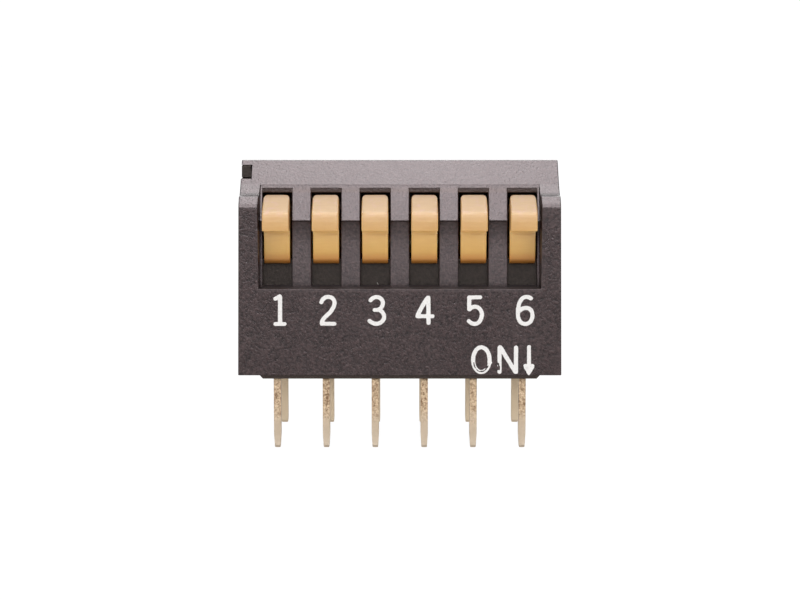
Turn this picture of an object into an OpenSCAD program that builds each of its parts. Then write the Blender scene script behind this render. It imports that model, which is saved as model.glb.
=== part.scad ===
// Six-way piano-type DIP switch for through-hole boards.
// Origin: centre of the seating plane, midway between the two pin rows.
// +X to the right seen from the front, +Z up, the front face looks along -Y.
// Every key is drawn in its upper, OFF position.

/* [Body] */
// Pitch of the poles and of the pins along a row
pitch = 2.54; // [2.50:0.01:2.58]
// Distance between the two pin rows
row_pitch = 7.62; // [7.58:0.01:7.66]
// Width of the cover at its lower edge
cover_w = 16.68; // [16.5:0.02:17.0]
// Depth of the cover, front face to back face
cover_d = 9.4; // [9.4:0.05:9.6]
// Draft of the cover's two ends, in degrees
end_draft = 0.55; // [0:0.05:0.8]
// Height of the ridge of the roof above the seating plane
ridge_z = 11.16; // [11.1:0.02:11.3]
// Height of the front wall's upper edge
sill_z = 4.7; // [4.6:0.02:4.8]
// How far the bars stand behind the front face
bar_set_back = 1.1; // [1.0:0.02:1.2]
// Width of each key slot
slot_w = 1.55; // [1.50:0.01:1.60]

/* [Keys] */
// Width of a key inside its slot
key_w = 1.34; // [1.30:0.01:1.38]
// Width of the key's cap at its front edge
cap_w = 1.37; // [1.36:0.01:1.45]
// Angle through which a key swings down to ON, in degrees
key_swing = 15; // [12:0.5:15]
// Radius of a key's pivot pin
pivot_r = 0.5; // [0.45:0.01:0.5]
// Running clearance around the pivot pin
pivot_gap = 0.03; // [0.02:0.01:0.05]

/* [Contacts] */
// Total angle through which the moving contact rocks, in degrees
rock_swing = 10; // [8:0.5:10]
// Thickness of the terminals' sheet
blade_t = 0.38; // [0.30:0.01:0.38]
// Length of the solder pins below the seating plane
pin_len = 3.68; // [3.2:0.02:3.8]
// Width of a solder pin along the depth of the switch
pin_w = 0.5; // [0.46:0.01:0.52]
// Radius of the ball
ball_r = 0.42; // [0.40:0.01:0.42]

/* [Hidden] */

$fn = 48;
eps = 0.01;
poles = 6;
yf = -4.7;                         // the front face
foot_z = 0.21;                     // lower edge of the cover
wall_y = 0.5;                      // front and back wall of the cover
cav_x = 7.55;                      // half width of the cavity
sill_r = 0.04;                      // rounding of the front wall's upper edge
win_x = 7.27;                      // half width of the window at the front face
win_taper = 0.05;                  // narrowing of the window per mm of depth
incline_top = [bar_set_back + 0.5, 9.97];
crease = [0.94, 9.45];
ridge_d = 2.72;
roof_back_z = 10.62;
// upper end of the front wall beside the window: a rounded chamfer, up to a short ledge at its back
bead_low = [0, 9.0];
bead_high = [0.44, 9.44];
bar_back = 1.82;                   // back faces of the bars
bar_edge = 8.11;                   // height of the bars' upper edge
// set-back of the bars' faces behind their foot, at shares of their height
bar_face = [[0, 0.02], [0.06, 0.02], [0.2, 0.045], [0.35, 0.075], [0.5, 0.11], [0.62, 0.138], [0.72, 0.152],
            [0.8, 0.153], [0.88, 0.14], [0.95, 0.118], [1, 0.10]];
pivot_z = 6.6;
pocket_w = 1.6;                    // width of a pole's chamber in the base
floor_z = 1.0;
ful_z = 1.35;                      // knife edge of the common terminal
rock_t = 0.12;
rock_v = 6;                        // upward bend of the contact's two arms
ball_c = 4.69;                     // ball centre below the pivot along the bore
bore_r = ball_r + 0.03;
bore_top = 0.76;                   // blind end of the bore below the pivot
house_len = 4.75;
house_r = 0.62;                    // outer radius of the spring housing
tab_x = 7.71;                      // inner edge of the latch window
tab_z = [10.24, 10.91];            // lower and upper edge of the latch window
tab_y = 2.5;                       // front face of the latch hook, behind the front face
hook_x = 7.3;                      // inner face of the latch's upper part
arm_z = 10.62;                     // top of the latch's arm inside the cover

function pole_x(i) = (i - (poles + 1) / 2) * pitch;
// arc of a profile in (depth, height)
function arc(c, r, a0, a1, n) =
  [for (k = [0:n]) let (a = a0 + (a1 - a0) * k / n) [c[0] + r * cos(a), c[1] + r * sin(a)]];

// rounds the corner b between a and c with radius r
function fillet(a, b, c, r, n = 6) =
  let (u = (a - b) / norm(a - b), v = (c - b) / norm(c - b), h = acos(u * v) / 2,
       m = b + (u + v) / norm(u + v) * r / sin(h),
       p = b + u * r / tan(h) - m, q = b + v * r / tan(h) - m,
       a0 = atan2(p[1], p[0]), da = (atan2(q[1], q[0]) - a0 + 540) % 360 - 180)
  [for (k = [0:n]) m + r * [cos(a0 + da * k / n), sin(a0 + da * k / n)]];

// extrude a (depth, height) profile along X, between x0 and x1;
// depth is counted from the front face
module slab(pts, x0, x1)
  translate([x0, yf, 0]) rotate([90, 0, 90]) linear_extrude(x1 - x0) polygon(pts);
// extrude an (x, height) profile along Y between y0 and y1
module front(pts, y0, y1)
  translate([0, y1, 0]) rotate([90, 0, 0]) linear_extrude(y1 - y0) polygon(pts);
module box(a, b) translate(a) cube([b[0] - a[0], b[1] - a[1], b[2] - a[2]]);

// ---------------------------------------------------------------- cover
bevel_slope = (ridge_z - 0.02 - incline_top[1]) / (ridge_d - 0.03 - incline_top[0]);

cover_profile = concat(
  [[0, foot_z]],
  fillet([0, foot_z], bead_low, bead_high, 0.35, 6),
  fillet(bead_low, bead_high, crease, 0.22, 5),
  fillet(bead_high, crease, incline_top, 0.65, 7),
  [incline_top,
   [ridge_d - 0.05, ridge_z - 0.04], [ridge_d + 0.01, ridge_z - 0.005], [ridge_d + 0.1, ridge_z]],
  [[cover_d - 0.2, roof_back_z], [cover_d - 0.06, roof_back_z - 0.05],
   [cover_d, roof_back_z - 0.19], [cover_d, foot_z]]);

module cover_outer() {
  hw = cover_w / 2;
  h = ridge_z + 1 - foot_z;
  intersection() {
    slab(cover_profile, -10, 10);
    front([[-hw, foot_z], [hw, foot_z], [hw - h * tan(end_draft), foot_z + h],
           [-hw + h * tan(end_draft), foot_z + h]], yf - 1, yf + cover_d + 1);
  }
}

// window in the upper front: sides taper inwards, the bars and their incline stand at its back
module window() {
  intersection() {
    // the front wall's upper edge is rounded
    slab(concat([[-1, sill_z - sill_r]], arc([sill_r, sill_z - sill_r], sill_r, 180, 90, 6),
          [for (p = bar_face) [bar_set_back + p[1], sill_z + (bar_edge - 0.05 - sill_z) * p[0]]],
          [[bar_set_back, bar_edge], incline_top,
          [incline_top[0], 10.4], [-1, 10.4]]), -9, 9);
    translate([0, yf, 4]) linear_extrude(8) polygon([
      [-win_x - win_taper, -1], [win_x + win_taper, -1],
      [win_x - win_taper * 2, 2], [-win_x + win_taper * 2, 2]]);
  }
}

module key_slots() {
  for (i = [1:poles]) {
    x = pole_x(i);
    // through the bars' plane, below the roof
    box([x - slot_w / 2, yf - 0.5, sill_z], [x + slot_w / 2, yf + 2.4, 9.54]);
    // upper end of the slot, with its upright end face
    box([x - slot_w / 2, yf - 0.5, 9.2], [x + slot_w / 2, yf + incline_top[0] - 0.04, 9.80]);
  }
}

module cavity() {
  // lower room for the base
  box([-cav_x, yf + wall_y, -1], [cav_x, yf + cover_d - wall_y, 4.0]);
  // upper room behind the bars
  slab([[bar_back, 3.9], [bar_back, 9.2], [2.92, 10.34], [cover_d - 0.7, 9.84],
        [cover_d - wall_y, 9.64], [cover_d - wall_y, 3.9]], -cav_x, cav_x);
}

// latch window in the upper left corner
module latch_window()
  box([-9, yf + 0.9, tab_z[0]], [-tab_x, yf + tab_y + 0.8, tab_z[1]]);
module latch_passage() {
  box([-tab_x - 0.1, yf + tab_y - 0.03, tab_z[0]], [-hook_x + 0.03, yf + tab_y + 0.8, arm_z + 0.03]);
  box([-cav_x, yf + tab_y - 0.03, 9.0], [-hook_x + 0.03, yf + tab_y + 0.8, arm_z + 0.03]);
}

// keeps the pivot pins down in their seats
module retainers()
  for (k = [-3:3]) {
    w = abs(k) == 3 ? 0.5 : 0.86;
    xo = abs(k) == 3 ? (k > 0 ? -0.34 : -0.16) : -w / 2;
    x = k * pitch + xo;
    box([x, -0.46, pivot_z + pivot_r + 0.04], [x + w, 0.46, 10.5]);
  }

module cover() color([0.29, 0.26, 0.26]) {
  difference() {
    cover_outer();
    window();
    key_slots();
    cavity();
    latch_window();
    latch_passage();
  }
  intersection() {
    retainers();
    cover_outer();
  }
}

// ---------------------------------------------------------------- base
function cavity_half() = cav_x - 0.02;

module base_body() {
  bx = cavity_half();
  y0 = yf + wall_y + 0.02;
  y1 = yf + cover_d - wall_y - 0.02;
  // seating plate with chamfered ends, just inside the cover's outline
  difference() {
    front([[-7.08, 0], [7.08, 0], [7.27, foot_z], [bx, foot_z], [bx, floor_z],
           [-bx, floor_z], [-bx, foot_z], [-7.27, foot_z]], yf + 0.25, yf + cover_d - 0.25);
    // clear of the cover's walls above the seating plate
    box([-9, yf - 1, foot_z], [9, y0, 3]);
    box([-9, y1, foot_z], [9, yf + cover_d + 1, 3]);
  }
  // front block below the sill, then the upright wall behind the keys
  box([-bx, y0, floor_z - 0.1], [bx, yf + 2.46, 3.95]);
  box([-bx, yf + 1.9, 3.9], [bx, yf + 2.46, 6.06]);
  // back wall
  box([-bx, y1 - 0.9, floor_z - 0.1], [bx, y1, 7.9]);
  // ends and partitions
  for (s = [-1, 1])
    box([s > 0 ? 2.5 * pitch + pocket_w / 2 : -bx, yf + 1.9, floor_z - 0.1],
        [s > 0 ? bx : -2.5 * pitch - pocket_w / 2, y1, 7.9]);
  for (k = [-2:2])
    box([k * pitch - (pitch - pocket_w) / 2, yf + 1.9, floor_z - 0.1],
        [k * pitch + (pitch - pocket_w) / 2, y1, 7.9]);
}

// arm and hook of the latch
module latch() {
  z0 = tab_z[0] + 0.02;
  z1 = tab_z[1] - 0.02;
  box([-cavity_half(), yf + tab_y, 7.8], [-2.5 * pitch - pocket_w / 2, yf + tab_y + 0.78, 8.96]);
  box([-cavity_half(), yf + tab_y, 8.9], [-hook_x, yf + tab_y + 0.78, arm_z]);
  // neck, and the hook, flush with the cover's end
  box([-tab_x - 0.1, yf + tab_y, z0], [-cavity_half() + 0.05, yf + tab_y + 0.78, arm_z]);
  front([[-cover_w / 2 + 0.01 + (z0 - foot_z) * tan(end_draft), z0], [-tab_x - 0.03, z0],
         [-tab_x - 0.03, z1], [-cover_w / 2 + 0.01 + (z1 - foot_z) * tan(end_draft), z1]],
        yf + tab_y, yf + tab_y + 0.78);
}

module pivot_seats()
  for (k = [-3:3]) {
    w = abs(k) == 3 ? 1.0 : 1.2;
    x = abs(k) == 3 ? (k > 0 ? 3 * pitch - 0.94 : -3 * pitch - 0.06) : k * pitch - w / 2;
    translate([x, 0, pivot_z]) rotate([0, 90, 0]) cylinder(r = pivot_r + pivot_gap, h = w);
    box([x, -pivot_r - pivot_gap, pivot_z], [x + w, pivot_r + pivot_gap, 9]);
  }

module base() color([0.13, 0.12, 0.12]) difference() {
  union() {
    base_body();
    latch();
    // rests for the raised arms of the contacts
    for (i = [1:poles])
      box([pole_x(i) - pocket_w / 2 - 0.05, -2.3, floor_z - 0.05], [pole_x(i) + pocket_w / 2 + 0.05, -1.75, ful_z - 0.02]);
  }
  pivot_seats();
  for (i = [1:poles]) { blade_front(i); blade_back(i); }
}

// ---------------------------------------------------------------- keys
cap_top = [1.235, 9.50];
cap_nose = [-0.376, 8.663];
cap_toe = [-0.405, 7.705];
// point at share t of the way from a to b, on a line that bulges to the left by h
function bulge(a, b, h, t) =
  let (d = b - a) a + d * t + [-d[1], d[0]] / norm(d) * 4 * h * t * (1 - t);
// the cap's upper face and front are slightly domed
top_line = [for (t = [0.2, 0.35, 0.5, 0.65, 0.8]) bulge(cap_top, cap_nose, -0.045, t)];
nose_line = [for (t = [0.25, 0.5, 0.75]) bulge(cap_nose, cap_toe, -0.03, t)];
cap_profile = concat(
  fillet([1.27, 9.2], cap_top, top_line[0], 0.08, 5), top_line,
  fillet(top_line[4], cap_nose, nose_line[0], 0.25, 8), nose_line,
  fillet(nose_line[2], cap_toe, [1.0, 7.66], 0.08),
  [[1.0, 7.66], [1.4, 7.66], [1.36, 9.0], [1.27, 9.2]]);
// web, skirt and shoulder in (depth, height)
body_profile = concat(
  [[1.36, 9.0], [1.0, 8.6], [0.98, 7.4]],
  [for (k = [0:6]) let (t = k / 6) [0.98 + 0.08 * t * t, 7.3 - 0.95 * t]],
  fillet([1.06, 6.35], [1.10, 5.88], [1.47, 5.88], 0.31, 7),
  fillet([1.10, 5.88], [1.47, 5.88], [1.56, 7.02], 0.05, 4),
  [[1.56, 7.02], [2.45, 6.92], [3.9, 6.0],
   [4.7, 6.4], [4.9, 7.5], [4.2, 7.7], [2.1, 8.86]]);

module key(i) {
  x = pole_x(i);
  translate([x, 0, 0]) difference() {
    union() {
      intersection() {
        slab(cap_profile, -1, 1);
        // plan of the cap: wider at its front
        translate([0, yf, 5]) linear_extrude(6) polygon([
          [-cap_w / 2, -0.5], [cap_w / 2, -0.5], [cap_w / 2, -0.2], [key_w / 2, 0.98], [key_w / 2, 1.5],
          [-key_w / 2, 1.5], [-key_w / 2, 0.98], [-cap_w / 2, -0.2]]);
        // rounded upper corners seen from the front
        front(concat([[-1, 7]], [[1, 7]], [[1, 9.04]],
          [[cap_w / 2 + 0.02, 9.04]], arc([key_w / 2 - 0.2, 9.26], 0.188, 0, 90, 8),
          arc([-key_w / 2 + 0.2, 9.26], 0.188, 90, 180, 8), [[-cap_w / 2 - 0.02, 9.04], [-1, 9.04]]), -6, 0);
      }
      slab(body_profile, -key_w / 2, key_w / 2);
      // hub, pivot pins and spring housing
      translate([-key_w / 2, 0, pivot_z]) rotate([0, 90, 0]) cylinder(r = 1.05, h = key_w);
      translate([-1.1, 0, pivot_z]) rotate([0, 90, 0]) cylinder(r = pivot_r, h = 2.2);
      translate([0, 0, pivot_z]) rotate([-key_swing / 2, 0, 0]) translate([0, 0, -house_len])
        cylinder(r = house_r, h = house_len);
    }
    translate([0, 0, pivot_z]) rotate([-key_swing / 2, 0, 0]) translate([0, 0, -house_len - 1])
      cylinder(r = bore_r, h = house_len + 1 - bore_top);
  }
}
module lever(i) color([0.86, 0.70, 0.48]) key(i);

// ---------------------------------------------------------------- ball and spring
module ball(i) color([0.75, 0.75, 0.76])
  translate([pole_x(i), 0, pivot_z]) rotate([-key_swing / 2, 0, 0]) translate([0, 0, -ball_c]) sphere(r = ball_r);

spring_turns = 8;
spring_r = 0.36;
wire_r = 0.05;
spring_top = -bore_top - wire_r - 0.02;
spring_bot = -ball_c + sqrt(pow(ball_r + wire_r + 0.01, 2) - pow(spring_r, 2));
ring_n = 6;
steps = 14;
// close coils at both ends, open ones between
function coil_z(t) = let (e = 1 / spring_turns, c = 2.4 * wire_r)
  t < e ? t / e * c :
  t > 1 - e ? spring_top - spring_bot - (1 - t) / e * c :
  c + (t - e) / (1 - 2 * e) * (spring_top - spring_bot - 2 * c);
function coil_pt(k, n) = let (t = k / n, a = 360 * spring_turns * t)
  [spring_r * cos(a), spring_r * sin(a), spring_bot + coil_z(t)];
module coil() {
  n = spring_turns * steps;
  pts = [for (k = [0:n]) let (p = coil_pt(k, n), a = 360 * spring_turns * k / n)
    for (j = [0:ring_n - 1]) let (b = 360 * j / ring_n)
      [p[0] + wire_r * cos(b) * cos(a), p[1] + wire_r * cos(b) * sin(a), p[2] + wire_r * sin(b)]];
  faces = concat(
    [[for (j = [0:ring_n - 1]) ring_n - 1 - j]],
    [for (k = [0:n - 1]) for (j = [0:ring_n - 1]) let (a = k * ring_n + j, b = k * ring_n + (j + 1) % ring_n)
      [a, b, b + ring_n, a + ring_n]],
    [[for (j = [0:ring_n - 1]) n * ring_n + j]]);
  polyhedron(pts, faces, convexity = 10);
}
module spring(i) color([0.8, 0.8, 0.8])
  translate([pole_x(i), 0, pivot_z]) rotate([-key_swing / 2, 0, 0]) coil();

// ---------------------------------------------------------------- moving contact
module rocker() {
  u = 0.01;
  s = tan(rock_v);
  difference() {
    translate([-0.5, 0, 0]) rotate([90, 0, 90]) linear_extrude(1.0) polygon([
      [0, u], [2.3, u + 2.3 * s], [2.3, u + 2.3 * s + rock_t], [0, u + rock_t],
      [-2.1, u + 2.1 * s + rock_t], [-2.1, u + 2.1 * s]]);
  }
  // ears that straddle the blade
  for (m = [-1, 1])
    box([m > 0 ? 0.26 : -0.38, -0.35, -0.26], [m > 0 ? 0.38 : -0.26, 0.35, u + 0.06]);
  // contact button at the back end
  translate([0, 2.0, u + 2.0 * s - 0.07]) cylinder(r = 0.2, h = 0.12);
}
module contact(i) color([0.83, 0.66, 0.36])
  translate([pole_x(i), 0, ful_z]) rotate([rock_swing / 2, 0, 0]) rocker();

// ---------------------------------------------------------------- terminals
// pin outline seen from the front: straight, then tapered to a blunt tip of width w
module pin_front(y, w, taper)
  front(concat([[-blade_t / 2, 3], [-blade_t / 2, -pin_len + taper]],
    fillet([-blade_t / 2, -pin_len + taper], [-w / 2, -pin_len], [w / 2, -pin_len], 0.06, 5),
    fillet([-w / 2, -pin_len], [w / 2, -pin_len], [blade_t / 2, -pin_len + taper], 0.06, 5),
    [[blade_t / 2, -pin_len + taper], [blade_t / 2, 3]]), y - 1, y + 1);
module sheet(pts) translate([-blade_t / 2, 0, 0]) rotate([90, 0, 90]) linear_extrude(blade_t) polygon(pts);

module blade_front(i) {
  y = -row_pitch / 2;
  h = pin_w / 2;
  translate([pole_x(i), 0, 0]) {
    intersection() {
      sheet([[y - h, floor_z - 0.05], [y - h, -pin_len + 0.12], [y - h + 0.06, -pin_len],
             [y + h - 0.06, -pin_len], [y + h, -pin_len + 0.12], [y + h, floor_z - 0.05]]);
      pin_front(y, 0.29, 0.75);
    }
    sheet([[y - h, 0.5], [y - h, floor_z], [-0.3, floor_z], [0, ful_z], [0.3, floor_z], [0.5, floor_z], [0.5, 0.6], [y + h + 0.2, 0.6], [y + h, 0.5]]);
  }
}
module blade_back(i) {
  y = row_pitch / 2;
  h = pin_w / 2;
  translate([pole_x(i), 0, 0]) {
    intersection() {
      sheet([[y - h, floor_z - 0.05], [y - h, -pin_len + 0.12], [y - h + 0.06, -pin_len],
             [y + h - 0.06, -pin_len], [y + h, -pin_len + 0.12], [y + h, floor_z - 0.05]]);
      pin_front(y, 0.35, 0.3);
    }
    sheet([[y + h, 0.5], [y + h, floor_z], [2.35, floor_z], [2.3, 1.22], [2.2, 1.28], [2.0, 1.30], [1.8, 1.28], [1.7, 1.22],
           [1.65, floor_z], [1.4, floor_z], [1.4, 0.6], [y - h - 0.2, 0.6], [y - h, 0.5]]);
  }
}
module terminal_front(i) color([0.80, 0.74, 0.64]) blade_front(i);
module terminal_back(i) color([0.80, 0.74, 0.64]) blade_back(i);

cover();
base();
lever(1);  // lever_1
lever(2);  // lever_2
lever(3);  // lever_3
lever(4);  // lever_4
lever(5);  // lever_5
lever(6);  // lever_6
spring(1);  // spring_1
spring(2);  // spring_2
spring(3);  // spring_3
spring(4);  // spring_4
spring(5);  // spring_5
spring(6);  // spring_6
ball(1);  // ball_1
ball(2);  // ball_2
ball(3);  // ball_3
ball(4);  // ball_4
ball(5);  // ball_5
ball(6);  // ball_6
contact(1);  // contact_1
contact(2);  // contact_2
contact(3);  // contact_3
contact(4);  // contact_4
contact(5);  // contact_5
contact(6);  // contact_6
terminal_front(1);  // terminal_front_1
terminal_front(2);  // terminal_front_2
terminal_front(3);  // terminal_front_3
terminal_front(4);  // terminal_front_4
terminal_front(5);  // terminal_front_5
terminal_front(6);  // terminal_front_6
terminal_back(1);  // terminal_back_1
terminal_back(2);  // terminal_back_2
terminal_back(3);  // terminal_back_3
terminal_back(4);  // terminal_back_4
terminal_back(5);  // terminal_back_5
terminal_back(6);  // terminal_back_6
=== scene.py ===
"""Looks of the six-way piano-type DIP switch: camera, stage, materials, softened edges and the white print."""
import math
import random

import bpy
import bmesh
import numpy as np
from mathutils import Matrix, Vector
from mathutils.geometry import delaunay_2d_cdt


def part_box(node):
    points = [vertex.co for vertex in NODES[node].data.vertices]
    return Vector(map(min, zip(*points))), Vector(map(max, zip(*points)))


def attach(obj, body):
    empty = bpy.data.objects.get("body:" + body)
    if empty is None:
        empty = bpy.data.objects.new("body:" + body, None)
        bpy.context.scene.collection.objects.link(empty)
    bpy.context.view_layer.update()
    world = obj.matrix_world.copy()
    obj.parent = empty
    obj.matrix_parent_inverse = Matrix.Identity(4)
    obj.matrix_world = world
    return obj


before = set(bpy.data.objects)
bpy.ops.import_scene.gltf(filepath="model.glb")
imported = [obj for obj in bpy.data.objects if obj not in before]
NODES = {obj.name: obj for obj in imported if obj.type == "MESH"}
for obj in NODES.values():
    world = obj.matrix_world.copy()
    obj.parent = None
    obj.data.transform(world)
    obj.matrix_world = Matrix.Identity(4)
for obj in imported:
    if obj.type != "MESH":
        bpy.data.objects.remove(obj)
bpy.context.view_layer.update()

MM = 0.001
scene = bpy.context.scene


# ------------------------------------------------------------------ camera
def make_camera():
    low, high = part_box("cover")
    front, seat = low.y, low.z - 0.21 * MM
    data = bpy.data.cameras.new("camera")
    data.lens = 105.0
    data.sensor_fit = "HORIZONTAL"
    data.sensor_width = 36.0
    data.clip_start = 0.002
    data.clip_end = 20.0
    cam = bpy.data.objects.new("camera", data)
    scene.collection.objects.link(cam)
    cam.location = (0.013 * MM, front - 119.0 * MM, seat + 18.68 * MM)
    cam.rotation_euler = (math.radians(90 - 6.97), 0, 0)
    scene.camera = cam


make_camera()


# ------------------------------------------------------------------ nodes
class Net:
    """Short way to write a material's node tree."""

    def __init__(self, tree):
        self.t = tree
        tree.nodes.clear()

    def add(self, kind, ins=None, **props):
        n = self.t.nodes.new("ShaderNode" + kind)
        for k, v in props.items():
            setattr(n, k, v)
        for k, v in (ins or {}).items():
            self.put(n.inputs[k], v)
        return n

    def put(self, socket, v):
        if isinstance(v, bpy.types.NodeSocket):
            self.t.links.new(v, socket)
        elif isinstance(v, bpy.types.Node):
            self.t.links.new(v.outputs[0], socket)
        else:
            socket.default_value = v

    def math(self, op, a, b=0.0, c=0.0, clamp=False):
        n = self.add("Math", operation=op, use_clamp=clamp)
        for i, v in enumerate((a, b, c)):
            if not (isinstance(v, float) and v == 0.0 and i == 2):
                self.put(n.inputs[i], v)
        return n.outputs[0]

    def vec(self, op, a, b=(0, 0, 0)):
        n = self.add("VectorMath", operation=op)
        self.put(n.inputs[0], a)
        self.put(n.inputs[1], b)
        return n

    def remap(self, v, a, b, lo=0.0, hi=1.0, smooth=False):
        n = self.add("MapRange", clamp=True, interpolation_type="SMOOTHSTEP" if smooth else "LINEAR")
        for k, x in zip(("Value", "From Min", "From Max", "To Min", "To Max"), (v, a, b, lo, hi)):
            self.put(n.inputs[k], x)
        return n.outputs[0]

    def noise(self, co, size_mm, detail=2.0, rough=0.5, distort=0.0, seed=0.0):
        at = self.vec("ADD", co, (seed * 0.0173, seed * 0.0091, seed * 0.0137)).outputs[0] if seed else co
        n = self.add("TexNoise", {"Vector": at, "Scale": 1.0 / (size_mm * MM), "Detail": detail,
                                  "Roughness": rough, "Distortion": distort})
        return n.outputs["Fac"]

    def mix(self, fac, a, b, mode="MIX"):
        n = self.add("Mix", data_type="RGBA", blend_type=mode)
        n.clamp_factor = True
        for s, v in zip((n.inputs["Factor"], n.inputs[6], n.inputs[7]), (fac, a, b)):
            if isinstance(v, tuple) and len(v) == 3:
                v = (*v, 1.0)
            self.put(s, v)
        return n.outputs[2]


def shader(name, rough, colour=(0.5, 0.5, 0.5), **fixed):
    """A new material with one Principled shader; fixed values go on its own sockets."""
    m = bpy.data.materials.new(name)
    m.use_nodes = True
    net = Net(m.node_tree)
    out = net.add("OutputMaterial")
    p = net.add("BsdfPrincipled")
    p.inputs["Roughness"].default_value = rough
    p.inputs["Base Color"].default_value = (*colour, 1.0)
    for k, v in fixed.items():
        p.inputs[k.replace("_", " ")].default_value = v
    net.put(out.inputs["Surface"], p.outputs[0])
    m.diffuse_color = (*colour, 1.0)
    return m, net, p


def edge_mask(net, radius_mm, lo=0.02, hi=0.22):
    """1 along outer and inner edges, 0 on flat ground."""
    b = net.add("Bevel", {"Radius": radius_mm * MM}, samples=4)
    g = net.add("NewGeometry")
    d = net.vec("DOT_PRODUCT", b.outputs[0], g.outputs["Normal"]).outputs["Value"]
    return net.remap(net.math("SUBTRACT", 1.0, d), lo, hi)


def near_segment(net, co, a, b, radius_mm):
    """1 close to the segment from a to b (millimetres), falling to 0 at radius_mm."""
    a, b = Vector(a) * MM, Vector(b) * MM
    ab = b - a
    rel = net.vec("SUBTRACT", co, tuple(a)).outputs[0]
    t = net.math("DIVIDE", net.vec("DOT_PRODUCT", rel, tuple(ab)).outputs["Value"], ab.length_squared, clamp=True)
    n = net.add("VectorMath", operation="SCALE")
    n.inputs[0].default_value = tuple(ab)
    net.put(n.inputs["Scale"], t)
    d = net.vec("DISTANCE", rel, n.outputs[0]).outputs["Value"]
    return net.remap(d, radius_mm * MM, radius_mm * MM * 0.4)


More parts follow.
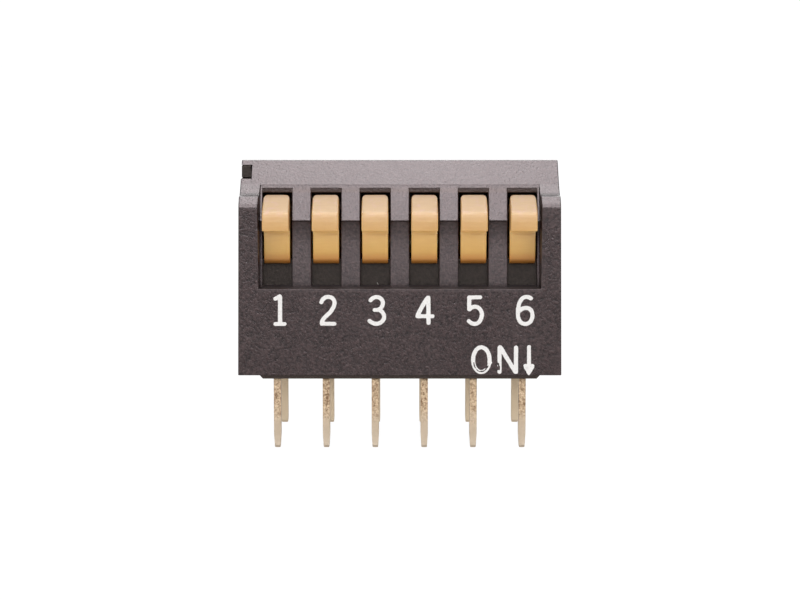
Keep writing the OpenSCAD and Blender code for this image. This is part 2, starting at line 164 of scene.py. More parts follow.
# ------------------------------------------------------------------ materials
def case_material():
    """Dark brown-grey glass-filled plastic from a spark-eroded mould."""
    m, net, p = shader("case_plastic", 0.30, (0.033, 0.021, 0.021), IOR=1.50)
    p.inputs["Specular Tint"].default_value = (1.0, 0.885, 0.91, 1.0)
    co = net.add("TexCoord").outputs["Object"]
    fine = net.noise(co, 0.125, 1.5, 0.5)
    grit = net.noise(co, 0.060, 1.0, 0.5, seed=3)
    patch = net.noise(co, 0.45, 2.0, 0.5, seed=5)
    cloud = net.noise(co, 2.6, 3.0, 0.55, seed=7)
    base = net.mix(net.remap(cloud, 0.3, 0.7), (0.0275, 0.0170, 0.0172), (0.0320, 0.0200, 0.0201))
    tone = net.math("ADD", net.remap(fine, 0.25, 0.75, 0.10, 1.90), net.remap(patch, 0.3, 0.7, -0.18, 0.18))
    dull = net.add("VectorMath", operation="SCALE")
    net.put(dull.inputs[0], base)
    net.put(dull.inputs["Scale"], tone)
    glint = net.remap(net.noise(co, 0.11, 1.0, 0.5, seed=11), 0.64, 0.76)
    base = net.mix(net.math("MULTIPLY", glint, 0.35), dull.outputs[0], (0.115, 0.088, 0.085))
    edge = edge_mask(net, 0.05)
    at = net.add("SeparateXYZ", {"Vector": co})
    wide = net.math("ABSOLUTE", at.outputs["X"])
    # edges are lightened, partly as wear and partly as painted highlight; the front wall's upper edge gets hardly any,
    # the bars' edges get most
    sill = net.math("MULTIPLY", net.remap(net.math("ABSOLUTE", net.math("SUBTRACT", at.outputs["Z"], 4.69 * MM)), 0.14 * MM, 0.07 * MM),
                    net.remap(wide, 7.40 * MM, 7.20 * MM))
    bars = net.math("MULTIPLY", net.remap(at.outputs["Y"], -3.80 * MM, -3.70 * MM), net.remap(wide, 7.40 * MM, 7.20 * MM))
    edge = net.math("SUBTRACT", edge, net.math("MULTIPLY", bars, 0.28), clamp=True)
    worn = net.math("MULTIPLY", edge, net.remap(fine, 0.36, 0.62, 0.15, 0.55))
    worn = net.math("MULTIPLY", worn, net.math("ADD", net.math("SUBTRACT", 1.0, net.math("MULTIPLY", sill, 0.95)), net.math("MULTIPLY", bars, 1.0)), clamp=True)
    base = net.mix(worn, base, (0.105, 0.085, 0.083))
    # the slots' side walls are painted warm brown: a painted glow that stands for light passing through the ivory keys
    # into the gaps
    normal = net.add("SeparateXYZ", {"Vector": net.add("NewGeometry").outputs["Normal"]})
    nx = net.math("ABSOLUTE", normal.outputs["X"])
    side = net.math("MULTIPLY", net.remap(nx, 0.80, 0.92), net.remap(wide, 7.19 * MM, 7.15 * MM))
    side = net.math("MULTIPLY", side, net.remap(at.outputs["Y"], -2.2 * MM, -2.6 * MM))
    side = net.math("MULTIPLY", side, net.remap(at.outputs["Z"], 5.6 * MM, 6.3 * MM))
    base = net.mix(net.math("MULTIPLY", side, 0.90), base, (0.230, 0.090, 0.030))
    # painted shadow: the slots' end faces just above the keys' tops are painted dark brown, for the shade in the gap
    # between each cap and its slot's end
    end = net.math("MULTIPLY", net.remap(at.outputs["Y"], -3.22 * MM, -3.18 * MM), net.remap(at.outputs["Z"], 9.86 * MM, 9.55 * MM))
    end = net.math("MULTIPLY", end, net.math("MULTIPLY", net.remap(at.outputs["Y"], -2.9 * MM, -3.0 * MM), net.remap(at.outputs["Z"], 9.35 * MM, 9.45 * MM)))
    base = net.mix(net.math("MULTIPLY", end, 0.75), base, (0.060, 0.031, 0.016))
    speck = near_segment(net, co, (7.18, -3.62, 6.36), (7.23, -3.66, 6.43), 0.055)
    base = net.mix(speck, base, (0.75, 0.74, 0.72))
    net.put(p.inputs["Base Color"], base)
    r = net.remap(grit, 0.25, 0.75, 0.25, 0.35)
    r = net.math("ADD", r, net.remap(cloud, 0.3, 0.7, -0.02, 0.02))
    # the roof and the back have a coarser, duller skin than the front
    roof = net.math("MULTIPLY", net.remap(normal.outputs["Z"], 0.80, 0.92), net.remap(at.outputs["Y"], -2.00 * MM, -1.80 * MM))
    # the bars' upright faces are polished less sharply than the rest
    low = net.math("MULTIPLY", bars, net.remap(at.outputs["Z"], 8.15 * MM, 7.85 * MM))
    r = net.math("ADD", r, net.math("ADD", net.math("MULTIPLY", sill, 0.30), net.math("MULTIPLY", low, 0.16)))
    net.put(p.inputs["Roughness"], net.math("ADD", r, net.math("MULTIPLY", roof, 0.52)))
    h = net.math("ADD", net.math("MULTIPLY", fine, 0.75), net.math("MULTIPLY", grit, 0.25))
    h = net.math("MULTIPLY", h, net.math("SUBTRACT", 1.0, net.math("MULTIPLY", low, 0.22)))
    b = net.add("Bump", {"Strength": 1.0, "Distance": 0.019 * MM, "Height": h})
    net.put(p.inputs["Normal"], b.outputs[0])
    return m


def base_material():
    """Near-black filled plastic, smoother than the case."""
    m, net, p = shader("base_plastic", 0.40, (0.015, 0.012, 0.010), IOR=1.41)
    p.inputs["Specular Tint"].default_value = (1.0, 0.86, 0.80, 1.0)
    co = net.add("TexCoord").outputs["Object"]
    fine = net.noise(co, 0.07, 2.0, 0.6, seed=2)
    cloud = net.noise(co, 1.3, 3.0, 0.6, seed=5)
    base = net.mix(net.remap(cloud, 0.3, 0.7), (0.0085, 0.0060, 0.0048), (0.0125, 0.0090, 0.0074))
    coarse = net.noise(co, 0.13, 2.0, 0.6, seed=12)
    grain = net.add("VectorMath", operation="SCALE")
    net.put(grain.inputs[0], base)
    net.put(grain.inputs["Scale"], net.remap(coarse, 0.3, 0.7, 0.1, 1.9))
    base = grain.outputs[0]
    z = net.add("SeparateXYZ", {"Vector": co}).outputs["Z"]
    base = net.mix(net.remap(z, 0.6 * MM, 0.1 * MM, 0.0, 0.8), base, (0.026, 0.018, 0.015))
    base = net.mix(net.remap(z, 9.3 * MM, 9.9 * MM, 0.0, 0.8), base, (0.004, 0.003, 0.002))
    edge = edge_mask(net, 0.04)
    base = net.mix(net.math("MULTIPLY", edge, 0.3), base, (0.06, 0.054, 0.05))
    scratch = near_segment(net, co, (-1.17, -2.8, 4.80), (-1.06, -2.8, 4.54), 0.030)
    scratch = net.math("MULTIPLY", scratch, net.remap(fine, 0.42, 0.5))
    base = net.mix(scratch, base, (0.42, 0.40, 0.38))
    net.put(p.inputs["Base Color"], base)
    net.put(p.inputs["Roughness"], net.remap(fine, 0.3, 0.7, 0.34, 0.48))
    h = net.math("ADD", net.math("MULTIPLY", fine, 0.4), coarse)
    b = net.add("Bump", {"Strength": 0.7, "Distance": 0.012 * MM, "Height": h})
    net.put(p.inputs["Normal"], b.outputs[0])
    return m


def key_material():
    """Ivory acetal: warm body colour, a satin skin, soft light under the surface."""
    m, net, p = shader("key_plastic", 0.36, (0.74, 0.47, 0.20), IOR=1.50)
    p.inputs["Subsurface Weight"].default_value = 0.18
    p.inputs["Subsurface Radius"].default_value = (1.0, 0.50, 0.22)
    p.inputs["Subsurface Scale"].default_value = 0.00035
    co = net.add("TexCoord").outputs["Object"]
    z = net.add("SeparateXYZ", {"Vector": co}).outputs["Z"]
    low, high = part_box("lever_1")
    fine = net.noise(co, 0.10, 2.0, 0.55, seed=4)
    cloud = net.noise(co, 0.9, 3.0, 0.55, seed=9)
    base = net.mix(net.remap(cloud, 0.3, 0.7), (0.678, 0.412, 0.124), (0.714, 0.445, 0.144))
    brushed = net.noise(net.vec("MULTIPLY", co, (0.13, 1.0, 1.0)).outputs[0], 0.085, 2.0, 0.6, 0.3, seed=21)
    base = net.mix(net.remap(brushed, 0.35, 0.65, 0.0, 0.16), base, (0.52, 0.27, 0.075))
    # pale pinkish patches on the cap's top are a painted sheen
    top_sheen = net.noise(co, 0.38, 2.0, 0.55, seed=23)
    top_sheen = net.math("MULTIPLY", net.remap(top_sheen, 0.50, 0.72, 0.0, 0.50), net.remap(z, 8.3 * MM, 8.7 * MM))
    base = net.mix(top_sheen, base, (0.730, 0.420, 0.235))
    # painted shade: the skirt turns darker and more orange towards its lower end, and nearly black at its very end,
    # where the slot and the front wall cut off the light
    down = net.remap(z, 7.3 * MM, 6.15 * MM, smooth=True)
    base = net.mix(net.math("MULTIPLY", down, 0.45), base, (0.61, 0.325, 0.062))
    tip = net.remap(z, 6.60 * MM, 6.05 * MM, smooth=True)
    base = net.mix(net.math("MULTIPLY", tip, 0.80), base, (0.47, 0.172, 0.018))
    base = net.mix(net.remap(z, 6.17 * MM, 6.01 * MM, 0.0, 0.62), base, (0.13, 0.045, 0.008))
    # painted shade: the cap is toned down against the skirt to offset the stronger light that falls on it
    base = net.mix(net.remap(z, 7.66 * MM, 7.71 * MM), base, (0.917, 0.872, 0.985), "MULTIPLY")
    # edges: a dark orange-brown line on the skirt is painted shade, a paler line on the cap is painted highlight
    edge = edge_mask(net, 0.06)
    cap = net.remap(z, 7.66 * MM, 7.71 * MM)
    base = net.mix(net.math("MULTIPLY", edge, net.remap(cap, 0.0, 1.0, 0.60, 0.35)), base,
                   net.mix(cap, (0.44, 0.205, 0.060), (0.72, 0.49, 0.24)))
    # painted shadow: an orange-brown band along the cap's top rear edge, where it passes under the slot's end
    base = net.mix(net.remap(z, 9.30 * MM, 9.46 * MM, 0.0, 0.6), base, (0.42, 0.20, 0.055))
    net.put(p.inputs["Base Color"], base)
    net.put(p.inputs["Roughness"], net.remap(fine, 0.3, 0.7, 0.32, 0.42))
    b = net.add("Bump", {"Strength": 0.22, "Distance": 0.008 * MM, "Height": net.math("ADD", fine, net.math("MULTIPLY", cloud, 0.6))})
    net.put(p.inputs["Normal"], b.outputs[0])
    return m


def terminal_material():
    """Tinned brass strip: smooth faces, and cut edges that are torn near the case and burnished towards the tip."""
    m, net, p = shader("terminal_metal", 0.32, (0.70, 0.60, 0.48), Metallic=1.0)
    co = net.add("TexCoord").outputs["Object"]
    split = net.add("SeparateXYZ", {"Vector": co})
    y, z = split.outputs["Y"], split.outputs["Z"]
    normal = net.add("NewGeometry").outputs["Normal"]
    ny = net.math("ABSOLUTE", net.add("SeparateXYZ", {"Vector": normal}).outputs["Y"])
    cut = net.math("MULTIPLY", net.remap(ny, 0.45, 0.75), net.remap(y, 2.0 * MM, -2.0 * MM, 0.12, 1.0))
    stretched = net.vec("MULTIPLY", co, (1.0, 1.0, 0.35)).outputs[0]
    fine = net.noise(stretched, 0.055, 3.0, 0.65, seed=6)
    grit = net.noise(co, 0.13, 3.0, 0.65, 0.5, seed=8)
    cloud = net.noise(co, 0.50, 3.0, 0.6, seed=1)
    torn = net.remap(net.math("ADD", z, net.math("MULTIPLY", net.math("SUBTRACT", cloud, 0.5), 1.5 * MM)),
                     -2.60 * MM, -1.60 * MM)
    torn = net.math("MULTIPLY", torn, cut)
    smooth = net.mix(net.remap(cloud, 0.3, 0.7), (0.600, 0.480, 0.355), (0.665, 0.550, 0.430))
    smooth = net.mix(net.remap(z, -2.9 * MM, -3.6 * MM, 0.0, 0.45), smooth, (0.80, 0.68, 0.56))
    smooth = net.mix(net.remap(y, 1.0 * MM, 3.0 * MM, 0.0, 0.7), smooth, (0.715, 0.575, 0.405))
    rough = net.mix(net.remap(grit, 0.37, 0.61), (0.185, 0.112, 0.064), (0.575, 0.445, 0.310))
    net.put(p.inputs["Base Color"], net.mix(torn, smooth, rough))
    r = net.add("Mix", data_type="FLOAT")
    net.put(r.inputs[0], torn)
    net.put(r.inputs[2], net.remap(fine, 0.3, 0.7, 0.28, 0.38))
    net.put(r.inputs[3], net.remap(grit, 0.3, 0.7, 0.60, 0.44))
    net.put(p.inputs["Roughness"], r.outputs[0])
    h = net.math("ADD", net.math("MULTIPLY", fine, 0.25), net.math("MULTIPLY", net.math("MULTIPLY", grit, torn), 1.9))
    b = net.add("Bump", {"Strength": 0.5, "Distance": 0.012 * MM, "Height": h})
    net.put(p.inputs["Normal"], b.outputs[0])
    return m


def metal_material(name, dark, light, lo, hi, size, bump=0.15):
    m, net, p = shader(name, (lo + hi) / 2, light, Metallic=1.0)
    co = net.add("TexCoord").outputs["Object"]
    fine = net.noise(co, size, 3.0, 0.6, seed=13)
    cloud = net.noise(co, size * 8, 3.0, 0.6, seed=14)
    net.put(p.inputs["Base Color"], net.mix(net.remap(cloud, 0.3, 0.7), dark, light))
    net.put(p.inputs["Roughness"], net.remap(fine, 0.3, 0.7, lo, hi))
    b = net.add("Bump", {"Strength": bump, "Distance": 0.006 * MM, "Height": fine})
    net.put(p.inputs["Normal"], b.outputs[0])
    return m


def ink_material():
    """White pad-printing ink, a little uneven."""
    m, net, p = shader("white_ink", 0.55, (0.74, 0.735, 0.72))
    co = net.add("TexCoord").outputs["Object"]
    fine = net.noise(co, 0.06, 2.0, 0.6, seed=15)
    cloud = net.noise(co, 0.35, 3.0, 0.6, seed=16)
    c = net.mix(net.remap(cloud, 0.3, 0.7), (0.78, 0.765, 0.755), (0.84, 0.825, 0.815))
    c = net.mix(net.remap(fine, 0.54, 0.70, 0.0, 0.55), c, (0.55, 0.52, 0.51))
    net.put(p.inputs["Base Color"], c)
    net.put(p.inputs["Roughness"], net.remap(fine, 0.3, 0.7, 0.48, 0.62))
    b = net.add("Bump", {"Strength": 0.3, "Distance": 0.006 * MM, "Height": fine})
    net.put(p.inputs["Normal"], b.outputs[0])
    return m


MATS = {
    "cover": case_material(),
    "base": base_material(),
    "lever": key_material(),
    "terminal": terminal_material(),
    "contact": metal_material("contact_gold", (0.83, 0.60, 0.26), (0.95, 0.74, 0.38), 0.20, 0.32, 0.08),
    "spring": metal_material("spring_steel", (0.52, 0.51, 0.50), (0.70, 0.69, 0.68), 0.22, 0.34, 0.05),
    "ball": metal_material("ball_steel", (0.66, 0.66, 0.67), (0.78, 0.78, 0.79), 0.10, 0.18, 0.12, 0.05),
}
INK = ink_material()


# ------------------------------------------------------------------ CAD nodes
# how far each kind of node's edges are rounded, in millimetres
ROUND = {"cover": 0.042, "base": 0.030, "lever": 0.050, "terminal": 0.018, "contact": 0.0, "spring": 0.0, "ball": 0.0}


def kind_of(name):
    return name.split("_")[0]


def share(kind, a, b, angle, convex):
    """How much of its kind's rounding an edge gets; a and b are its ends in millimetres."""
    if angle < 26 or not convex and kind not in ("terminal", "base"):
        return 0.0
    y, z = (a[1] + b[1]) / 2, (a[2] + b[2]) / 2
    if kind == "cover":
        if y < -3.0 and min(a[2], b[2]) > 9.79 and max(a[2], b[2]) < 9.81:
            return 0.0
        wide = max(abs(a[0]), abs(b[0]))
        if min(abs(a[0]), abs(b[0])) > 7.10 and y > -3.7 and (wide < 7.16 or wide < 7.30 and 8.0 < z < 8.2):
            return 0.0
        inside = abs(a[0]) < 7.6 and abs(b[0]) < 7.6 and y > -3.0 and z < 10.5
        return 0.0 if inside else 1.0
    if kind == "lever":
        if y > -3.05 or z < 5.75 or (y > -3.36 and z < 6.05):
            return 0.0
        if min(a[2], b[2]) > 9.25 or (max(a[2], b[2]) < 7.70 and min(a[2], b[2]) > 7.3 and max(a[1], b[1]) > -3.9):
            return 0.0
        return 1.0
    return 1.0


def weigh_edges(o, kind):
    """Writes each edge's share of the rounding as its bevel weight, and marks corners left unrounded as sharp.
    The CAD mesh has split vertices, so edges are matched by place."""
    me = o.data
    co = np.array([v.co for v in me.vertices]) * 1000
    key = [tuple(k) for k in np.round(co, 4)]
    sides = {}
    for f in me.polygons:
        n, c = np.array(f.normal), co[list(f.vertices)].mean(0)
        for k in range(len(f.vertices)):
            a, b = key[f.vertices[k]], key[f.vertices[(k + 1) % len(f.vertices)]]
            sides.setdefault((min(a, b), max(a, b)), []).append((n, c))
    weight, sharp = {}, set()
    for (a, b), fs in sides.items():
        if len(fs) == 2:
            (n1, c1), (n2, c2) = fs
            angle = math.degrees(math.acos(max(-1.0, min(1.0, float(n1 @ n2)))))
            weight[a, b] = share(kind, a, b, angle, float((c2 - c1) @ n1) < 0)
            if angle > 24 and weight[a, b] == 0:
                sharp.add((a, b))
    at = me.attributes.new("bevel_weight_edge", "FLOAT", "EDGE")
    for e in me.edges:
        a, b = key[e.vertices[0]], key[e.vertices[1]]
        at.data[e.index].value = weight.get((min(a, b), max(a, b)), 0.0)
        e.use_edge_sharp = (min(a, b), max(a, b)) in sharp


def dress(o, kind):
    o.data.materials.clear()
    o.data.materials.append(MATS[kind])
    if ROUND[kind]:
        weigh_edges(o, kind)
    w = o.modifiers.new("weld", "WELD")
    w.merge_threshold = 8e-6 if kind == "cover" else 2e-7
    if ROUND[kind]:
        d = o.modifiers.new("planes", "DECIMATE")
        d.decimate_type = "DISSOLVE"
        d.angle_limit = math.radians(0.3)
        b = o.modifiers.new("round", "BEVEL")
        b.width = ROUND[kind] * MM
        b.segments = 3
        b.limit_method = "WEIGHT"
        b.use_clamp_overlap = False
        b.loop_slide = False
        b.miter_outer = "MITER_SHARP"
    n = o.modifiers.new("shade", "WEIGHTED_NORMAL")
    n.keep_sharp = bool(ROUND[kind])
    n.weight = 60


for name, o in NODES.items():
    dress(o, kind_of(name))


# ------------------------------------------------------------------ print
def smooth_line(points, step=0.03):
    """Catmull-Rom line through the points."""
    p = [np.array(q, float) for q in points]
    if len(p) == 2:
        return np.array(p)
    p = [2 * p[0] - p[1]] + p + [2 * p[-1] - p[-2]]
    out = []
    for i in range(1, len(p) - 2):
        n = max(2, int(np.linalg.norm(p[i + 1] - p[i]) / step))
        for t in np.linspace(0, 1, n, endpoint=False):
            out.append(0.5 * (2 * p[i] + (p[i + 1] - p[i - 1]) * t
                              + (2 * p[i - 1] - 5 * p[i] + 4 * p[i + 1] - p[i + 2]) * t * t
                              + (3 * p[i] - p[i - 1] - 3 * p[i + 1] + p[i + 2]) * t ** 3))
    out.append(p[-2])
    return np.array(out)


def line_field(X, Z, line, r):
    """Signed distance to a line drawn with a round pen of radius r."""
    best = np.full(X.shape, 9.0)
    for a, b in zip(line[:-1], line[1:]):
        ab = b - a
        t = np.clip(((X - a[0]) * ab[0] + (Z - a[1]) * ab[1]) / max(ab @ ab, 1e-12), 0, 1)
        best = np.minimum(best, np.hypot(X - a[0] - t * ab[0], Z - a[1] - t * ab[1]))
    return best - r


def poly_field(X, Z, pts):
    """Signed distance to a filled polygon."""
    pts = np.array(pts, float)
    best = np.full(X.shape, 9.0)
    inside = np.zeros(X.shape, bool)
    for a, b in zip(pts, np.roll(pts, -1, 0)):
        ab = b - a
        t = np.clip(((X - a[0]) * ab[0] + (Z - a[1]) * ab[1]) / (ab @ ab), 0, 1)
        best = np.minimum(best, np.hypot(X - a[0] - t * ab[0], Z - a[1] - t * ab[1]))
        hit = (a[1] > Z) != (b[1] > Z)
        with np.errstate(divide="ignore", invalid="ignore"):
            cross = X < (b[0] - a[0]) * (Z - a[1]) / (b[1] - a[1]) + a[0]
        inside ^= hit & cross
    return np.where(inside, -best, best)


def wobble(X, Z, seed, amp):
    """Smooth unevenness of a printed edge."""
    rnd = random.Random(seed)
    f = np.zeros(X.shape)
    for _ in range(14):
        a, k = rnd.uniform(0, math.tau), rnd.uniform(12, 55)
        f += np.sin(k * (X * math.cos(a) + Z * math.sin(a)) + rnd.uniform(0, math.tau)) / math.sqrt(14)
    return f * amp


def contours(F, xs, zs):
    """Closed outlines of F < 0 by marching squares, as lists of (x, z)."""
    inside = F < 0
    nx, nz = F.shape
    edge_pt, link = {}, {}

    def cross(i, j, k, l):
        key = (i, j, k, l)
        if key not in edge_pt:
            a, b = F[i, j], F[k, l]
            t = min(max(a / (a - b), 0.02), 0.98)
            edge_pt[key] = (xs[i] + t * (xs[k] - xs[i]), zs[j] + t * (zs[l] - zs[j]))
        return key

    # inside stays on the left of each link
    for i in range(nx - 1):
        for j in range(nz - 1):
            c = inside[i, j] | inside[i + 1, j] << 1 | inside[i + 1, j + 1] << 2 | inside[i, j + 1] << 3
            if c in (0, 15):
                continue
            S = lambda: cross(i, j, i + 1, j)
            E = lambda: cross(i + 1, j, i + 1, j + 1)
            N = lambda: cross(i, j + 1, i + 1, j + 1)
            W = lambda: cross(i, j, i, j + 1)
            table = {1: [(S, W)], 2: [(E, S)], 3: [(E, W)], 4: [(N, E)], 5: [(S, W), (N, E)], 6: [(N, S)], 7: [(N, W)],
                     8: [(W, N)], 9: [(S, N)], 10: [(W, N), (E, S)], 11: [(E, N)], 12: [(W, E)], 13: [(S, E)], 14: [(W, S)]}
            for a, b in table[int(c)]:
                link[a()] = b()
    loops = []
    while link:
        start = next(iter(link))
        loop, at = [], start
        while at in link:
            loop.append(edge_pt[at])
            at = link.pop(at)
        if len(loop) >= 8:
            loops.append(loop)
    return loops


def within(at, poly):
    nxt = np.roll(poly, -1, 0)
    hit = (poly[:, 1] > at.y) != (nxt[:, 1] > at.y)
    a, b = poly[hit], nxt[hit]
    return int(np.sum(at.x < (b[:, 0] - a[:, 0]) * (at.y - a[:, 1]) / (b[:, 1] - a[:, 1]) + a[:, 0])) % 2


def relax(loop, rounds=2):
    p = np.array(loop)
    for _ in range(rounds):
        p = 0.5 * p + 0.25 * (np.roll(p, 1, 0) + np.roll(p, -1, 0))
    return p


def print_piece(name, fields, worn=(), seed=1, step=0.02, thick=0.014, sink=0.006):
    """A thin closed film of ink on the front face. fields and worn are functions of the grid."""
    pts = np.array([q for f in fields for q in f["box"]])
    pad = 0.16
    xs = np.arange(pts[:, 0].min() - pad, pts[:, 0].max() + pad, step)
    zs = np.arange(pts[:, 1].min() - pad, pts[:, 1].max() + pad, step)
    X, Z = np.meshgrid(xs, zs, indexing="ij")
    F = np.min([f["at"](X, Z) for f in fields], 0) + wobble(X, Z, seed, 0.0045)
    for w in worn:
        F = np.maximum(F, -(w(X, Z) + wobble(X, Z, seed + 50, 0.012)))
    loops = [relax(l) for l in contours(F, xs, zs)]
    verts, edges = [], []
    for l in loops:
        n0 = len(verts)
        verts += [Vector((float(x), float(z))) for x, z in l]
        edges += [(n0 + k, n0 + (k + 1) % len(l)) for k in range(len(l))]
    v2, e2, f2, _, _, _ = delaunay_2d_cdt(verts, edges, [], 2, 1e-5)
    polys = [np.array([(v[0], v[1]) for v in l]) for l in loops]
    kept = []
    for f in f2:
        mid = sum((v2[k] for k in f), Vector((0, 0))) / len(f)
        if sum(within(mid, q) for q in polys) % 2:
            kept.append(f)
    f2 = kept
    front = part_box("cover")[0].y
    y0, y1 = front - thick * MM, front + sink * MM
    bm = bmesh.new()
    top = [bm.verts.new((v.x * MM, y0, v.y * MM)) for v in v2]
    bot = [bm.verts.new((v.x * MM, y1, v.y * MM)) for v in v2]
    for f in f2:
        f = list(f)
        bm.faces.new([top[k] for k in f])
        bm.faces.new([bot[k] for k in reversed(f)])
    rim = [e for e in bm.edges if e.is_boundary and e.verts[0].co.y < front]
    index = {v: k for k, v in enumerate(top)}
    for e in rim:
        a, b = (index[v] for v in e.verts)
        face = e.link_faces[0]
        order = [v for v in face.verts]
        k = order.index(top[a])
        if order[(k + 1) % len(order)] is not top[b]:
            a, b = b, a
        bm.faces.new([top[b], top[a], bot[a], bot[b]])
    bmesh.ops.delete(bm, geom=[v for v in bm.verts if not v.link_faces], context="VERTS")
    bmesh.ops.recalc_face_normals(bm, faces=bm.faces)
    me = bpy.data.meshes.new(name)
    bm.to_mesh(me)
    bm.free()
    me.materials.append(INK)
    o = bpy.data.objects.new(name, me)
    scene.collection.objects.link(o)
    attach(o, "housing")
    return o


def pen(points, r=0.104, curved=True):
    line = smooth_line(points) if curved else np.array(points, float)
    return {"box": points, "at": lambda X, Z, line=line, r=r: line_field(X, Z, line, r)}


def solid(points, grow=0.0):
    return {"box": points, "at": lambda X, Z: poly_field(X, Z, points) - grow}


# strokes as (x, z) in millimetres on the front face
print_piece("print_1", [pen([(-6.40, 4.20), (-6.27, 4.27), (-6.16, 4.33)], 0.095),
                        solid([(-6.42, 4.13), (-6.26, 4.16), (-6.16, 4.36), (-6.30, 4.33), (-6.44, 4.24)], 0.03),
                        pen([(-6.15, 4.29), (-6.155, 2.90)], 0.108, False),
                        pen([(-6.40, 2.89), (-5.92, 2.89)], 0.098, False)], seed=1)
print_piece("print_2", [pen([(-4.03, 4.02), (-3.98, 4.13), (-3.87, 4.24), (-3.67, 4.295), (-3.48, 4.24), (-3.37, 4.10),
                             (-3.36, 3.92), (-3.43, 3.72), (-3.60, 3.48), (-3.83, 3.26), (-3.98, 3.07), (-4.02, 2.93)]),
                        pen([(-4.02, 2.91), (-3.36, 2.90)], 0.10, False)], seed=2)
print_piece("print_3", [pen([(-1.50, 4.12), (-1.38, 4.23), (-1.21, 4.285), (-1.03, 4.25), (-0.90, 4.12), (-0.87, 3.94),
                             (-0.94, 3.76), (-1.06, 3.65)]),
                        pen([(-1.30, 3.62), (-1.06, 3.625)], 0.095, False),
                        pen([(-1.06, 3.63), (-0.91, 3.52), (-0.83, 3.39), (-0.80, 3.25), (-0.85, 3.09), (-1.00, 2.95),
                             (-1.19, 2.90), (-1.38, 2.935), (-1.555, 3.05)])], seed=3)
print_piece("print_4", [pen([(1.45, 4.25), (1.28, 4.02), (0.93, 3.38), (0.935, 3.30)], 0.108),
                        pen([(0.94, 3.295), (1.69, 3.29)], 0.10, False),
                        pen([(1.465, 4.25), (1.485, 2.95)], 0.108, False)], seed=4)
print_piece("print_5", [pen([(4.13, 4.275), (3.58, 4.265)], 0.10, False), pen([(3.57, 4.26), (3.575, 3.66)], 0.108, False),
                        pen([(3.58, 3.65), (3.72, 3.755), (3.89, 3.785), (4.06, 3.72), (4.18, 3.57), (4.225, 3.38),
                             (4.18, 3.18), (4.06, 2.97), (3.87, 2.895), (3.69, 2.93), (3.55, 3.04)])], seed=5)
print_piece("print_6", [pen([(6.74, 4.22), (6.60, 4.285), (6.41, 4.275), (6.24, 4.15), (6.13, 3.92), (6.08, 3.61),
                             (6.08, 3.32), (6.135, 3.10), (6.26, 2.95), (6.46, 2.89), (6.65, 2.95), (6.77, 3.10),
                             (6.825, 3.31), (6.78, 3.54), (6.66, 3.68), (6.49, 3.72), (6.32, 3.69), (6.16, 3.57)])], seed=6)


def oval(cx, cz, a, b, a0=0, a1=360, n=24):
    return [(cx + a * math.cos(math.radians(a0 + (a1 - a0) * k / n)), cz + b * math.sin(math.radians(a0 + (a1 - a0) * k / n)))
            for k in range(n + 1)]


def streak(points, r):
    line = smooth_line(points)
    return lambda X, Z: line_field(X, Z, line, r)


print_piece("print_on_o", [pen(oval(4.205, 1.035, 0.425, 0.645), 0.104), pen([(4.66, 0.90), (4.70, 0.88)], 0.06, False)],
            [streak(oval(4.205, 1.035, 0.405, 0.63, 196, 262, 10), 0.026), streak(oval(4.205, 1.035, 0.40, 0.62, 268, 330, 8), 0.028),
             streak([(4.50, 0.86), (4.47, 0.70), (4.42, 0.62)], 0.045)], seed=7)
print_piece("print_on_n", [pen([(5.14, 1.67), (5.145, 0.40)], 0.104, False), pen([(5.19, 1.67), (5.96, 0.40)], 0.108, False),
                           pen([(5.99, 1.66), (5.99, 0.40)], 0.108, False)],
            [streak([(5.08, 0.82), (5.10, 0.70), (5.09, 0.55)], 0.050), streak([(5.13, 0.60), (5.14, 0.52)], 0.030)], seed=8)
print_piece("print_arrow", [pen([(6.655, 1.69), (6.66, 0.70)], 0.100, False),
                            solid([(6.40, 0.74), (6.46, 0.79), (6.66, 0.76), (6.86, 0.79), (6.92, 0.74), (6.90, 0.62),
                                   (6.68, 0.25), (6.64, 0.25), (6.42, 0.62)], 0.025)], seed=9)


# ------------------------------------------------------------------ stage and light
def disc_and_wall(name, radius, wall, ground):
    """A round floor, with a low wall far away if wall is above 0."""
    bm = bmesh.new()
    n = 96
    ring = [bm.verts.new((radius * math.cos(math.tau * k / n), radius * math.sin(math.tau * k / n), ground)) for k in range(n)]
    bm.faces.new(ring)
    if wall:
        up = [bm.verts.new((v.co.x, v.co.y, ground + wall)) for v in ring]
        for k in range(n):
            bm.faces.new([ring[k], up[k], up[(k + 1) % n], ring[(k + 1) % n]])
    me = bpy.data.meshes.new(name)
    bm.to_mesh(me)
    bm.free()
    o = bpy.data.objects.new(name, me)
    scene.collection.objects.link(o)
    return o


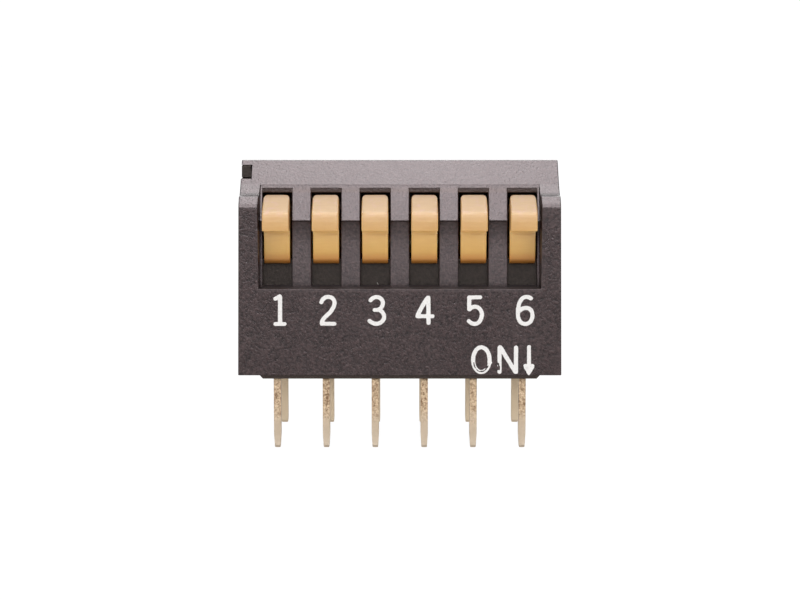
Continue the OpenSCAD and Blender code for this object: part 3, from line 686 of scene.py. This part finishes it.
def make_stage():
    ground = min(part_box("terminal_front_1")[0].z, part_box("terminal_back_1")[0].z)
    # what the camera sees: white paper
    seen = disc_and_wall("floor", 0.95, 0.5, ground)
    m, net, p = shader("floor_paper", 0.9, (0.12, 0.12, 0.12))
    p.inputs["Emission Color"].default_value = (1, 1, 1, 1)
    p.inputs["Emission Strength"].default_value = 0.985
    p.inputs["Specular IOR Level"].default_value = 0.0
    seen.data.materials.append(m)
    seen.visible_diffuse = seen.visible_glossy = seen.visible_shadow = seen.visible_transmission = False
    # what lights the object from below: one disc for its matt colours, one for its gloss
    for name, down, power in (("floor_light", 0.02, 1.00), ("floor_mirror", 0.04, 0.58)):
        disc = disc_and_wall(name, 1.5, 0, ground - down * MM)
        m, net, p = shader(name + "_paper", 0.9, (0.0, 0.0, 0.0))
        p.inputs["Emission Color"].default_value = (1, 0.98, 0.95, 1)
        p.inputs["Emission Strength"].default_value = power
        p.inputs["Specular IOR Level"].default_value = 0.0
        disc.data.materials.append(m)
        disc.visible_camera = disc.visible_transmission = disc.visible_shadow = False
        disc.visible_glossy = name == "floor_mirror"
        disc.visible_diffuse = not disc.visible_glossy


def softbox(name, where, aim, size, radiance, size_y=None):
    """A rectangle of even light of the given radiance, facing aim."""
    d = bpy.data.lights.new(name, "AREA")
    d.shape = "RECTANGLE"
    d.size, d.size_y = size, size_y or size
    d.energy = radiance * math.pi * d.size * d.size_y
    o = bpy.data.objects.new(name, d)
    scene.collection.objects.link(o)
    o.location = where
    o.rotation_euler = (Vector(aim) - Vector(where)).to_track_quat("-Z", "Y").to_euler()
    o.visible_camera = False
    return o


def polar(azimuth, elevation, distance):
    """A point around the object; azimuth 0 is in front."""
    a, e = math.radians(azimuth), math.radians(elevation)
    return (distance * math.cos(e) * math.sin(a), -distance * math.cos(e) * math.cos(a), distance * math.sin(e))


make_stage()
AIM = (0, 0, 0.006)
# an arc of softboxes over the object that its glossy surfaces mirror: elevation, span in degrees, radiance
ARC_R, ARC_W = 0.50, 0.21
for k, (el, span, power) in enumerate(((22, 28, 10.5), (47, 22, 8.5), (70, 24, 9.6), (94, 24, 10.4), (117, 22, 3.4), (139, 22, 2.8), (161, 22, 2.6))):
    box = softbox(f"sheen_{k + 1}", polar(0, el, ARC_R), AIM, ARC_W, power, 2 * ARC_R * math.tan(math.radians(span / 2)))
    box.visible_diffuse = False
# broad soft light for the matt surfaces, mostly from the front
for name, az, el, w, h, power in (("front", 0, 12, 0.50, 0.30, 1.95), ("left", -48, 10, 0.40, 0.36, 1.35), ("right", 48, 10, 0.40, 0.36, 1.45),
                                  ("top", 0, 75, 0.50, 0.40, 0.50)):
    box = softbox("matt_" + name, polar(az, el, 0.6), AIM, w, power, h)
    box.visible_glossy = name in ("left", "right")
for side in (-1, 1):
    softbox("end_fill_" + ("left" if side < 0 else "right"), polar(88 * side, 38, 0.6), AIM, 0.26, 0.8)
softbox("back_fill", polar(180, 35, 0.6), AIM, 0.30, 2.0)

world = bpy.data.worlds.new("studio")
scene.world = world
world.use_nodes = True
world.node_tree.nodes["Background"].inputs[0].default_value = (1, 1, 1, 1)
world.node_tree.nodes["Background"].inputs[1].default_value = 0.28

scene.view_settings.view_transform = "Standard"
scene.view_settings.look = "None"
